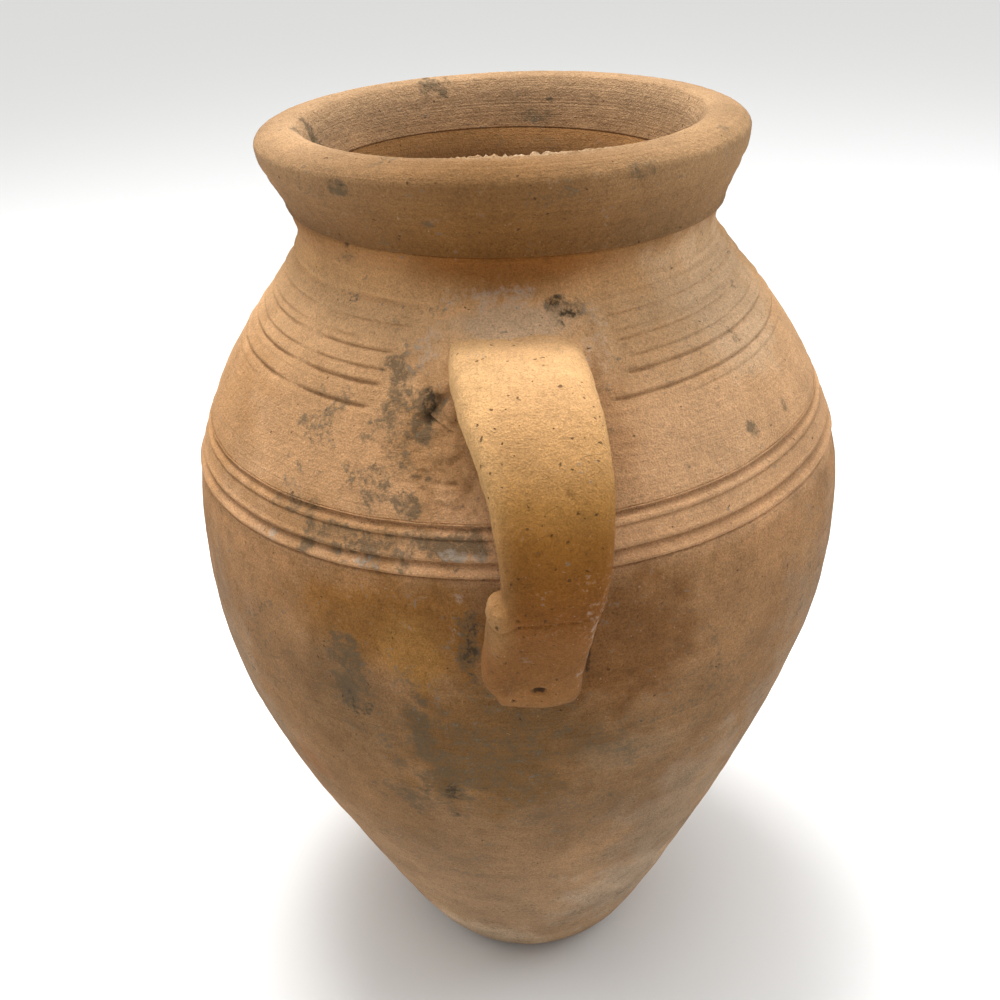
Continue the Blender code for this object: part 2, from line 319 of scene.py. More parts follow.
def shoulder_grooves(azimuth, height):
    """Cut lines with a small burr above each. They stop where the handle's clay was smeared."""
    beside = near_handle(azimuth)
    wiped = 1 - 0.75 * bell(azimuth, -48, 3.5)        # a thumb ran across them here
    total = np.zeros_like(height)
    for *lengths, right, left in SHOULDER_GROOVES:
        middle, depth, width = MM * np.array(lengths)
        kept = step_up(beside, right - 1, right + 2) + step_up(-beside, -left - 1, -left + 2)
        wear = 0.85 + 0.35 * cloud(ring_points(azimuth * 3, height, 8.0), 0.03, middle * 900)
        cut = -bell(height, middle, width) + 0.50 * bell(height, middle + 1.9 * width, 1.3 * width)
        total += depth * kept * wear * wiped * cut
    neck_side = step_up(height, 0.3340, 0.3347) * (1 - step_up(height, 0.3370, 0.3450))
    total -= 0.0008 * neck_side * step_up(azimuth, 14, 20)
    left_arc = bell(height - 0.3350 + (azimuth + 45) * 0.00009, 0.0, 0.0005)
    left_arc *= step_up(-azimuth, 17, 22) * step_up(azimuth, -47, -42)
    right_arc = bell(height - 0.3440 + (azimuth - 7) * 0.00052, 0.0, 0.0005)
    right_arc *= step_up(azimuth, 5, 9) * (1 - step_up(azimuth, 17, 20))
    return total - 0.0005 * (left_arc + right_arc)


# %% Clay smeared round the handles' roots
def patch(azimuth, height, middle, level, half_width, half_height):
    """1 in the middle of an oval on the wall, falling to 0 at its edge and negative outside."""
    across = np.radians(azimuth - middle) * wall(height) / half_width
    return 1 - np.sqrt(across ** 2 + ((height - level) / half_height) ** 2)


def root_smears(azimuth, height, corners):
    beside = near_handle(azimuth)
    fan = patch(beside, height, -1, 0.3200, 0.036, 0.0190) + 0.10 * cloud(corners, 0.007, 5.2)
    drag = cloud(corners * np.array([1.0, 1.0, 0.35]), 0.0035, 8.8)
    smear = step_up(fan, 0.0, 0.12) * (0.0009 + 0.0006 * drag) + step_up(fan, 0.20, 0.9) * 0.0018
    smear += 0.0007 * bell(fan, 0.07, 0.06)
    foot = patch(beside, height, -9, 0.2330, 0.030, 0.0190) + 0.06 * cloud(corners, 0.006, 9.2)
    return smear + step_up(foot, 0.0, 0.08) * (0.0007 + 0.0004 * drag)


def scar_under_strap(azimuth, height, corners):
    """Gouged clay under each strap, where fingers pressed the root home, and a hollow beside it."""
    beside = near_handle(azimuth)
    spot = step_up(patch(beside, height, -10, 0.2960, 0.021, 0.0230), 0.0, 0.35)
    slant = np.stack([np.radians(beside) * 0.10 - 0.6 * height, np.radians(beside) * 0.03 + 0.25 * height,
                      height * 0], axis=1)
    strokes = np.maximum(0.0, 1 - 3.5 * np.abs(cloud(slant, 0.0058, 2.3)))
    torn = np.abs(cloud(corners, 0.0060, 6.3)) - 0.25
    crumbs = cloud(corners, 0.0022, 6.6)
    past_edge = beside + 11 + (0.318 - height) * 437 + 1.5 * cloud(corners, 0.006, 2.9)
    hollow = step_up(past_edge, 0.0, 1.6) * (1 - step_up(beside, 6, 15))
    hollow *= step_up(height, 0.292, 0.306) * (1 - step_up(height, 0.3135, 0.3190))
    gouge = bell(past_edge, 0.8, 0.9) * step_up(height, 0.301, 0.305) * (1 - step_up(height, 0.3110, 0.3150))
    scratched = spot * (0.0019 * torn + 0.0006 * crumbs - 0.0013 * strokes)
    return scratched - 0.0020 * hollow - 0.0022 * gouge


# %% Marks below the belly
def trim_marks(azimuth, height):
    """Faint ledges low on the wall, left by trimming the foot on the wheel."""
    marks = 0.00022 * step_up(height, 0.0640, 0.0652) - 0.00022 * step_up(height, 0.0700, 0.0900)
    marks += 0.00016 * bell(height, 0.0230, 0.0012) - 0.00016 * bell(height, 0.0150, 0.0015)
    return marks * (0.7 + 0.5 * cloud(ring_points(azimuth, height, 4.0), 0.05, 7.7))


def crust(azimuth, height, corners):
    """A scab of clay and dirt stuck to the front, low and left of the handle."""
    spot = step_up(patch(azimuth, height, -15, 0.1640, 0.013, 0.0150), 0.0, 0.6)
    drips = step_up(patch(azimuth, height, -29, 0.2180, 0.007, 0.0210), 0.0, 0.6)
    drips += step_up(patch(azimuth, height, -17, 0.2020, 0.006, 0.0190), 0.0, 0.6)
    return (0.0026 * spot + 0.0014 * drips) * np.maximum(cloud(corners, 0.0042, 3.3), -0.1)


def outside_relief(corners):
    """Everything that the outer wall carries, as a distance outwards."""
    azimuth, _, height = round_the_jar(corners)
    relief = throwing_rings(azimuth, height) + lumps(corners)
    if height.max() > BAND_HIGH + 0.001:
        relief += shoulder_grooves(azimuth, height)
    else:
        relief += trim_marks(azimuth, height) + crust(azimuth, height, corners)
    relief += root_smears(azimuth, height, corners) + scar_under_strap(azimuth, height, corners)
    return relief


def inside_relief(corners):
    """Deep finger rings inside, where nobody smoothed the clay."""
    azimuth, _, height = round_the_jar(corners)
    rings = cloud(ring_points(azimuth, height + azimuth * 0.00002, 1 / 0.011), 1.0, 12.5)
    return 0.0009 * rings + 0.0003 * cloud(corners, 0.020, 6.1)


def pushed(corners, distance):
    """Move corners away from the axis by a distance each."""
    radius = np.hypot(corners[:, 0], corners[:, 1])
    grown = np.maximum(radius + distance, 0.0) / np.maximum(radius, 1e-6)
    return corners * np.stack([grown, grown, np.ones_like(grown)], axis=1)


def shape_by_hand(piece):
    """Give a turned piece its hand-made surface, then let it climb and wander."""
    corners = corners_of(piece)
    _, radius, height = round_the_jar(corners)
    depth = wall(height) - radius
    on_outside = 1 - step_up(depth, 0.0016, 0.0034)
    off_axis = step_up(radius, 0.004, 0.020)
    flat_foot = step_up(height, 0.0, 0.0030)
    on_inside = (1 - on_outside) * off_axis * step_up(depth, 0.0045, 0.0065)
    push = on_outside * outside_relief(corners) * flat_foot + on_inside * inside_relief(corners)
    put_back(piece, unsteady(pushed(corners, push)))


# %% [markdown]
# ## Lower body
#
# The lower body is a deep bowl: a small flat foot with a rounded heel, a wall that swells to the
# belly, and a floor. Its outline is dense on the outside, where it is seen, and coarse inside.
# The wall ends under the band in a slope, the way one thrown half is seated on the other.

# %% Lower body
OUTSIDE_PITCH = 0.0014
INSIDE_PITCH = 0.0060
LAP = 0.0060


def rows(low, high, pitch):
    """Evenly spaced heights from low to high, both included."""
    return np.linspace(low, high, max(2, int(round((high - low) / pitch)) + 1))


def dish_corners():
    """(radius, height) corners of the plain floor's top, from the middle outwards."""
    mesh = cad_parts["lower_body"].data
    places = {(round(math.hypot(v.co.x, v.co.y), 4), round(v.co.z, 4)) for v in mesh.vertices}
    return sorted(p for p in places if 0.009 < p[1] < 0.020 and p[0] < 0.050)


lower_outside = [(float(wall(z)), z) for z in rows(0.0, BAND_LOW, OUTSIDE_PITCH)]
lower_inside = [(float(inner_wall(z)), z) for z in rows(0.0235, BAND_LOW - LAP, INSIDE_PITCH)]
lower_outline = dish_corners() + lower_inside + lower_outside[::-1] + [(0.0, 0.0)]
lower_body = spun("lower_body_clay", lower_outline, 360, closed=False)
shape_by_hand(lower_body)

# %% [markdown]
# ## Upper body
#
# The upper body is the shoulder and neck. It has a rebate at the bottom, behind the band, and a
# sloping top inside the collar. The grooves are under a millimetre wide, so its outline has a
# corner every half millimetre.

# %% Upper body
BAND_DEPTH = 0.0034
REBATE_DEPTH = 0.0037
COARSE_PITCH = 0.0040
seam_radius = float(wall(SEAM))
collar_corners = [corner.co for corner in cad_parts["collar"].data.vertices]
throat = min(corner.xy.length for corner in collar_corners)
throat_height = min(corner.z for corner in collar_corners if corner.xy.length < throat + 0.0005)
upper_outside = [(float(wall(z)) - REBATE_DEPTH, z) for z in rows(BAND_LOW, BAND_HIGH, COARSE_PITCH)]
upper_outside += [(float(wall(z)), z) for z in rows(BAND_HIGH, SEAM - 0.0001, 0.0005)]
upper_inside = [(float(inner_wall(z)), z) for z in rows(BAND_LOW - LAP, SEAM - 0.006, 0.0035)]
upper_inside.append((throat, throat_height - 0.0004))
upper_body = spun("upper_body_clay", upper_outside[::-1] + upper_inside, 420)
shape_by_hand(upper_body)

# %% [markdown]
# ## Belly band
#
# The band hides the joint of the two halves. From the top it is a sharp cut, a slope out to a
# ridge, a fine line, a flat, then a second cut and slope that ends in a lip over the lower body.
# A short list of heights and offsets says this, and the spin does the rest.

# %% Belly band
BAND_SHAPE = (
    # mm up from the band's lower edge, mm out from the wall
    (-0.4, -0.8), (0.2, 0.6), (1, 1.1), (2.2, 0.6), (4, -0.9),
    (4.6, -1.2), (5.1, 0.3), (6, 0.8), (7.4, 0.3), (11.2, 0.1),
    (11.8, -0.4), (12.3, 0.5), (13.2, 0.6), (14.8, -1.1), (15.6, -1.4),
    (16.1, 0.2), (16.8, 0.6),
)
BAND_PITCH = 0.00028


def band_offset(height):
    steps, offsets = MM * np.array(BAND_SHAPE).T
    return np.interp(height - BAND_LOW, steps, offsets)


band_heights = rows(BAND_LOW - 0.0004, BAND_HIGH + 0.0001, BAND_PITCH)
band_outside = [(float(wall(z) + band_offset(z)), z) for z in band_heights]
band_back = [(float(wall(z)) - BAND_DEPTH, z) for z in rows(BAND_LOW, BAND_HIGH, COARSE_PITCH)]
belly_band = spun("belly_band_clay", band_outside[::-1] + band_back, 480)
shape_by_hand(belly_band)

# %% [markdown]
# ## Collar
#
# The collar is a thick ring of clay thrown onto the neck and rolled outwards. Its lip is broad and
# soft, its mouth opens like a shallow funnel, and the clay was torn and left rough along part of
# the inner edge at the front.

# %% Collar outline
RIM_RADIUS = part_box("collar")[1].x
CREST_RADIUS = 0.0770
LIP_HEIGHT = JAR_HEIGHT - 0.0058


def arc(centre, across, up, start, end, count):
    """Part of an oval, angles in degrees from its outer side up to its top."""
    turns = np.radians(np.linspace(start, end, count))
    return [(centre[0] + across * math.cos(t), centre[1] + up * math.sin(t)) for t in turns]


def through(points, count):
    """A smooth line of evenly counted points through a few given ones."""
    ends = [points[0]] + list(points) + [points[-1]]
    line = []
    for i in range(1, len(ends) - 2):
        p0, p1, p2, p3 = (np.array(p, float) for p in ends[i - 1:i + 3])
        for t in np.linspace(0, 1, count, endpoint=False):
            line.append(tuple(0.5 * (2 * p1 + (p2 - p0) * t + (2 * p0 - 5 * p1 + 4 * p2 - p3) * t ** 2
                                     + (3 * p1 - p0 - 3 * p2 + p3) * t ** 3)))
    return line + [tuple(points[-1])]


flare = through(((seam_radius - 0.0006, SEAM), (seam_radius + 0.0009, SEAM + 0.0003),
                 (seam_radius + 0.0016, SEAM + 0.0014), (seam_radius + 0.0020, SEAM + 0.0032),
                 (0.0832, SEAM + 0.0078), (0.0863, SEAM + 0.0140), (0.0886, SEAM + 0.0195),
                 (RIM_RADIUS, LIP_HEIGHT)), 10)
roll = arc((CREST_RADIUS, LIP_HEIGHT), RIM_RADIUS - CREST_RADIUS, JAR_HEIGHT - LIP_HEIGHT, 0, 90, 30)
mouth = through(((CREST_RADIUS, JAR_HEIGHT), (0.0738, JAR_HEIGHT - 0.0012), (0.0712, JAR_HEIGHT - 0.0055),
                 (0.0696, JAR_HEIGHT - 0.0110), (0.0678, JAR_HEIGHT - 0.0165), (throat, throat_height)), 9)
outline = flare[:-1] + roll[:-1] + mouth
collar = spun("collar_clay", outline[::-1], 560)


# %% Collar surface
RIM_DEGREE = 0.00022        # about the length of the section, in metres, for each degree round it


def round_the_rim(corners):
    """Degrees round the collar's section, from -90 at its seam, up over the lip, to 210 in the throat."""
    _, radius, height = round_the_jar(corners)
    turn = np.degrees(np.arctan2(height - 0.3660, radius - 0.0775))
    return np.where(turn < -100, turn + 360, turn)


def torn_edge(corners):
    """Where the mouth's front edge was left torn."""
    azimuth, radius, height = round_the_jar(corners)
    front = step_up(azimuth, -22, -8) * (1 - step_up(azimuth, 16, 36))
    return front * bell(radius, 0.0748, 0.0028) * step_up(height, JAR_HEIGHT - 0.0045, JAR_HEIGHT - 0.0020)


def rim_relief(corners):
    """Fine wheel lines on the rolled rim, soft lumps, and torn clay on the mouth's front edge."""
    azimuth = round_the_jar(corners)[0]
    turn = round_the_rim(corners)
    outside = 1 - step_up(turn, 100, 135)
    lines = cloud(ring_points(azimuth, turn * RIM_DEGREE, 1 / 0.0011), 1.0, 2.2)
    broad = cloud(ring_points(azimuth, turn * RIM_DEGREE, 1 / 0.0060), 1.0, 5.1)
    relief = outside * (0.00016 * lines + 0.00030 * broad) + 0.3 * lumps(corners)
    relief += 0.00013 * cloud(corners, 0.0035, 8.8) - 0.00050 * outside * bell(turn, -2, 9)
    crumbs = np.abs(cloud(corners, 0.0030, 7.4)) + 0.6 * cloud(corners, 0.0014, 1.1)
    from_nick = azimuth - 28 - 0.10 * (turn - 30) - 3 * cloud(corners, 0.004, 3.3)
    nick = bell(from_nick, 0.0, 0.5) * bell(turn, 32, 22)
    return relief + 0.0018 * torn_edge(corners) * crumbs - 0.0004 * nick


def lift_rim(piece):
    """Relief on the collar acts upwards on the lip and outwards on its sides."""
    corners = corners_of(piece)
    _, radius, height = round_the_jar(corners)
    relief = rim_relief(corners)
    on_seam = step_up(height, SEAM + 0.0002, SEAM + 0.0012)
    lip = step_up(height, LIP_HEIGHT, JAR_HEIGHT - 0.0008)
    sideways = np.where(radius > CREST_RADIUS, 1.0, -1.0) * (1 - lip)
    moved = pushed(corners, relief * sideways * on_seam)
    moved[:, 2] += relief * lip * on_seam
    put_back(piece, unsteady(moved))


lift_rim(collar)

# %% [markdown]
# ## Strap handles
#
# A strap was pulled from a lump of clay, bent in the air and pressed on at both ends, so it gets
# thinner and narrower on its way down, and it bows a little to one side. Here a section is
# extruded along a path, station by station. The path and widths are a few given stations
# with a smooth line through them.

# %% Strap stations
STRAP_STATIONS = (
    # mm: sideways, out from the axis, height, width, thickness
    (1.4, 84, 319.5, 45, 15),
    (1.8, 93, 319.6, 44.2, 15),
    (3, 106, 320, 44, 14.5),
    (4.6, 120, 317.8, 42.5, 14.2),
    (7.2, 133, 312.8, 40.2, 13.8),
    (9.2, 142.5, 304.5, 38.2, 13.3),
    (10.2, 148.6, 294, 36, 12.7),
    (10.5, 151.3, 282, 33.8, 12.2),
    (10.2, 150.8, 270, 31.8, 11.8),
    (8.6, 147.8, 258, 30.6, 11.6),
    (6.8, 143.2, 246, 29.6, 11.5),
    (5.4, 138.2, 234, 29, 11.6),
    (4.8, 134.5, 225, 29, 11.4),
    (4.6, 131.8, 219, 28.6, 10.2),
    (4.4, 129, 215, 26.8, 8.2),
    (4.2, 126.4, 211.8, 23, 4.8),
    (4.2, 125.2, 209.2, 18, 2),
)
STRAP_SECTION = (
    # sideways and outward, as parts of the width and thickness, once round from the left
    (-0.50, -0.24), (-0.484, 0.13), (-0.450, 0.36), (-0.365, 0.455), (0.00, 0.52), (0.25, 0.475),
    (0.42, 0.32), (0.495, 0.02), (0.48, -0.26), (0.36, -0.43), (0.00, -0.50), (-0.36, -0.48), (-0.47, -0.40),
)
SECTION_CORNERS = 120
STRAP_ROWS = 24


def strap_section(width, thickness):
    """Evenly spaced corners of the section: crowned on top, with an edge along its left side."""
    ring = np.array(through(STRAP_SECTION + STRAP_SECTION[:1], 24))[:, :2] * (width, thickness)
    lengths = np.append(0, np.cumsum(np.linalg.norm(np.diff(ring, axis=0), axis=1)))
    spots = np.linspace(0, lengths[-1], SECTION_CORNERS, endpoint=False)
    return list(zip(np.interp(spots, lengths, ring[:, 0]), np.interp(spots, lengths, ring[:, 1])))


def strap_frames():
    """Place, sideways axis, outward axis and size at every row along the strap."""
    line = MM * np.array(through(STRAP_STATIONS, STRAP_ROWS))
    places = np.stack([line[:, 0], -line[:, 1], line[:, 2]], axis=1)
    tangents = np.gradient(places, axis=0)
    for place, tangent, (width, thickness) in zip(places, tangents, line[:, 3:5]):
        along = Vector(tangent).normalized()
        sideways = Vector((1, 0, 0))
        sideways = (sideways - sideways.dot(along) * along).normalized()
        yield Vector(place), sideways, along.cross(sideways), width, thickness


def strap(name):
    """Extrude the section's ring of edges from row to row and close both ends."""
    shape = bmesh.new()
    ring = None
    for place, sideways, outward, width, thickness in strap_frames():
        section = [place + sideways * across + outward * up for across, up in strap_section(width, thickness)]
        if ring is None:
            corners = [shape.verts.new(corner) for corner in section]
            ring = [shape.edges.new(pair) for pair in zip(corners, corners[1:] + corners[:1])]
            bmesh.ops.contextual_create(shape, geom=ring)
        else:
            moved = bmesh.ops.extrude_edge_only(shape, edges=ring)["geom"]
            fresh = [part for part in moved if isinstance(part, bmesh.types.BMVert)]
            corners = in_ring_order(fresh, corners)
            for corner, place_to in zip(corners, section):
                corner.co = place_to
            ring = [part for part in moved if isinstance(part, bmesh.types.BMEdge)]
    bmesh.ops.contextual_create(shape, geom=ring)
    bmesh.ops.recalc_face_normals(shape, faces=shape.faces)
    return finished(name, shape)


def in_ring_order(fresh, before):
    """New corners in the order of the ring they were extruded from."""
    by_place = {corner.co.to_tuple(7): corner for corner in fresh}
    return [by_place[corner.co.to_tuple(7)] for corner in before]


# %% [markdown]
# ## The strap's surface
#
# Corners are pressed in and out along the mesh's own normals: long drag marks along the strap, soft
# lumps, pits where grit fell out, and the lap where a thinner end was laid over the foot.

# %% Surface of the strap
LAP_HEIGHT = 0.2600
FLAP_TOP = 0.2680
HOLE_ACROSS = 0.0050
HOLE_HEIGHT = 0.2262
BURIED_DEPTH = 0.0030


def pits(corners, size, share, seed):
    """Little round holes: noise with everything but its deepest spots cut away."""
    return np.maximum(-cloud(corners, size, seed) - share, 0.0) / (1 - share)


def big_pits(corners):
    return pits(corners, 0.0026, 0.56, 1.9)


def small_pits(corners):
    return pits(corners, 0.0012, 0.56, 3.7)


def from_the_hole(corners):
    """Distance from the hole poked in the strap's foot, shorter sideways so that it is a slot."""
    return np.hypot(0.6 * (corners[:, 0] - HOLE_ACROSS), corners[:, 2] - HOLE_HEIGHT)


def strap_relief(corners):
    across, out, height = corners[:, 0], -corners[:, 1], corners[:, 2]
    along = np.arctan2(height - 0.2750, out - 0.1050)
    dragged = cloud(np.stack([across, along * 0.020, out * 0], axis=1), 0.0042, 4.4)
    relief = 0.00022 * dragged + 0.00028 * cloud(corners, 0.013, 2.8) + 0.00018 * cloud(corners, 0.0055, 7.1)
    relief -= 0.0012 * big_pits(corners) + 0.0007 * small_pits(corners)
    crack = height - LAP_HEIGHT - 0.10 * across - 0.0012 * cloud(corners, 0.006, 9.9)
    below = 1 - step_up(crack, -0.0006, 0.0002)
    front = step_up(out, 0.1330, 0.1380)
    relief -= front * (0.0006 * below * bell(crack, 0.0, 0.012) + 0.0009 * bell(crack, 0.0, 0.0006))
    left = step_up(0.0058 - across, 0.0060, 0.0125)
    below_flap_top = FLAP_TOP - height + 0.0012 * cloud(corners, 0.005, 4.9)
    flap = step_up(below_flap_top, 0.0, 0.0030) * (1 - step_up(below_flap_top, 0.038, 0.048))
    return relief + 0.0042 * left * flap - 0.0020 * bell(from_the_hole(corners), 0.0, 0.0014)


def press(piece, relief):
    """Move a piece's corners along its normals."""
    corners = corners_of(piece)
    normals = np.empty(corners.size)
    piece.data.vertices.foreach_get("normal", normals)
    put_back(piece, corners + normals.reshape(-1, 3) * relief(corners)[:, None])


def keep_out_of_the_bowl(piece):
    """Hold the buried ends inside the wall's thickness, so that nothing shows in the mouth."""
    corners = corners_of(piece)
    _, radius, height = round_the_jar(corners)
    inside = inner_wall(height) + BURIED_DEPTH
    put_back(piece, pushed(corners, np.maximum(inside - radius, 0.0)))


front_strap = strap("front_strap")
press(front_strap, strap_relief)
keep_out_of_the_bowl(front_strap)

# %% [markdown]
# ## Luting pads
#
# Each end of a strap is bedded in soft clay that was thumbed out onto the wall. A sphere is mapped
# onto the wall for this: its upper half becomes a low mound with a feathered edge, and its lower
# half goes just under the surface, so the pad has no visible end.

# %% Luting pads
def pad(name, middle, level, half_width, half_height, thickness, rough):
    """A mound of clay on the wall: a sphere whose upper half is flattened to a feathered edge."""
    shape = bmesh.new()
    bmesh.ops.create_uvsphere(shape, u_segments=128, v_segments=96, radius=1.0)
    piece = finished(name, shape)
    across, up, out = corners_of(piece).T
    reach = np.hypot(across, up)
    height = level + up * half_height
    azimuth = np.degrees(middle + across * half_width / wall(level))
    turn = np.radians(azimuth)
    on_wall = np.stack([wall(height) * np.sin(turn), -wall(height) * np.cos(turn), height], axis=1)
    edge = 0.10 * cloud(on_wall, 0.012, 3.9) + 0.05 * cloud(on_wall, 0.005, 8.2)
    mound = thickness * np.clip(1 - reach * (1 + edge * step_up(reach, 0.3, 0.8)), 0, 1) ** 1.55
    mound += rough * cloud(on_wall * np.array([1.0, 1.0, 0.6]), 0.0045, 5.3) * step_up(1 - reach, 0.02, 0.25)
    lift = np.where(out >= 0, mound + outside_relief(on_wall) - 0.00030 * step_up(reach, 0.90, 1.0), -0.0015)
    put_back(piece, unsteady(pushed(on_wall, lift)))
    return piece


front_shoulder_pad = pad("front_shoulder_clay", -0.010, 0.3165, 0.0310, 0.0185, 0.0140, 0.00055)
front_belly_pad = pad("front_belly_clay", 0.030, 0.2290, 0.0220, 0.0185, 0.0052, 0.00060)

# %% [markdown]
# ## The back handle
#
# The other handle is the same shape turned half way round. Mesh copies are turned in their data, so
# the objects stay at the origin.

# %% Back handle
def turned_round(piece, name):
    shape = bmesh.new()
    shape.from_mesh(piece.data)
    bmesh.ops.rotate(shape, verts=shape.verts, cent=(0, 0, 0), matrix=Matrix.Rotation(math.pi, 3, "Z"))
    return finished(name, shape)


back_strap = turned_round(front_strap, "back_strap")
back_shoulder_pad = turned_round(front_shoulder_pad, "back_shoulder_clay")
back_belly_pad = turned_round(front_belly_pad, "back_belly_clay")

# %% [markdown]
# ## Colour of the clay, its dirt, and painted light and shade
#
# The clay's tone changes slowly down the jar: it is darker below the band than on the shoulder, and
# darker again just under the collar, which is partly painted shade. Over that lie broad ovals with soft
# edges. Some are stains from the fire and from damp; some are painted shade and painted light: a darker,
# warmer front, a paler right side, lighter clay low down where the floor's shadow falls, and shade
# beside the straps and under the collar. They are mixed in the order given and stored per corner as a
# colour attribute, `clay_tone_and_painted_light`. The collar and the straps get tones of their own, with
# painted light and shade as well. Soot, salt and charred dirt are sharper and finer than the mesh, so
# only how thickly they lie is stored, in `dirt_cover`, and the material's nodes break that into specks.
# A third attribute, `wheel_line`, runs along each piece's outline, for the fine lines that fingers drew
# on the wheel.

# %% Earth colours
def earth(red, green, blue):
    """Linear colour from the 0 to 255 numbers of a colour picker."""
    return np.array([((c / 255 + 0.055) / 1.055) ** 2.4 for c in (red, green, blue)])


ASH = (178, 160, 138)
RUST = (168, 104, 56)
DEEP = (116, 78, 42)
SMOKED = (130, 100, 70)

WALL_TONES = (
    # height in mm, colour of the clay: darker below the band; the darkening just under the collar is partly
    # painted shade
    (0, (186, 152, 118)),
    (60, (178, 143, 108)),
    (120, (162, 126, 90)),
    (180, (158, 119, 80)),
    (255, (170, 127, 86)),
    (260, (196, 152, 110)),
    (300, (206, 162, 118)),
    (330, (218, 174, 126)),
    (338, (214, 166, 114)),
    (344, (186, 140, 92)),
    (350, (162, 116, 70)),
)
SHADES = (
    # azimuth; mm: height, half width, half height; colour, strength, raggedness
    # partly dirt, partly painted shade: the dark crescent under the collar, at the front
    (0, 348, 46, 16, (140, 86, 30), 0.75, 0.1),
    # partly stain, partly painted shade: the front of the lower body darker and warmer brown
    (-4, 192, 55, 50, (116, 80, 38), 0.75, 0.3),
    (8, 150, 80, 50, SMOKED, 0.35, 0.3),
    # partly stain, partly painted shade: the next two rows make the wall below the band, at the front, darker
    # and warmer brown
    (15, 232, 34, 40, (122, 80, 40), 0.8, 0.3),
    (-20, 240, 56, 26, (148, 98, 38), 0.8, 0.3),
    (-30, 195, 28, 50, (134, 102, 68), 0.6, 0.35),
    (-46, 150, 12, 12, RUST, 0.35, 0.45),
    (-17, 231, 18, 19, (178, 130, 70), 0.6, 0.2),
    (-35, 268, 65, 11, (156, 114, 70), 0.55, 0.4),
    (-34, 295, 70, 34, (184, 138, 90), 0.38, 0.3),
    (-68, 285, 38, 40, (180, 132, 82), 0.55, 0.3),
    (-62, 180, 34, 70, ASH, 0.3, 0.5),
    # partly the clay's tone, partly painted cool light: the right side of the lower body paler and greyer
    (62, 170, 50, 90, (168, 142, 116), 0.55, 0.5),
    # painted light: lighter and greyer low on the right, where the floor's shadow darkens the wall
    (30, 60, 40, 45, (184, 162, 138), 0.6, 0.5),
    # partly the clay's tone, partly painted cool light: paler and greyer low on the right
    (34, 120, 40, 60, (166, 142, 116), 0.55, 0.5),
    # painted light: the foot lighter on the left, where the floor's shadow darkens it
    (-30, 18, 55, 18, (222, 194, 162), 0.6, 0.3),
    (-30, 150, 34, 45, (146, 108, 68), 0.5, 0.4),
    (20, 180, 30, 12, (170, 138, 104), 0.45, 0.6),
    # partly the clay's tone, partly painted light: the right shoulder paler
    (58, 325, 48, 32, (222, 190, 154), 0.6, 0.3),
    (35, 290, 40, 30, (214, 172, 130), 0.4, 0.3),
    (0, 330, 28, 7.5, (206, 180, 150), 0.6, 0.4),
    (-6, 168, 34, 30, (136, 98, 54), 0.5, 0.4),
    # painted shade: the next two rows darken the wall beside the strap, right and left, where its shade falls
    (14, 300, 20, 30, (172, 126, 82), 0.55, 0.3),
    (-13, 298, 22, 28, (168, 124, 78), 0.6, 0.35),
    (150, 290, 50, 25, SMOKED, 0.4, 0.6),
    (205, 200, 60, 40, DEEP, 0.45, 0.5),
    (120, 150, 50, 40, SMOKED, 0.4, 0.5),
    (235, 310, 30, 12, ASH, 0.35, 0.6),
)
SOOT, WHITE, BLACK = 0, 1, 2
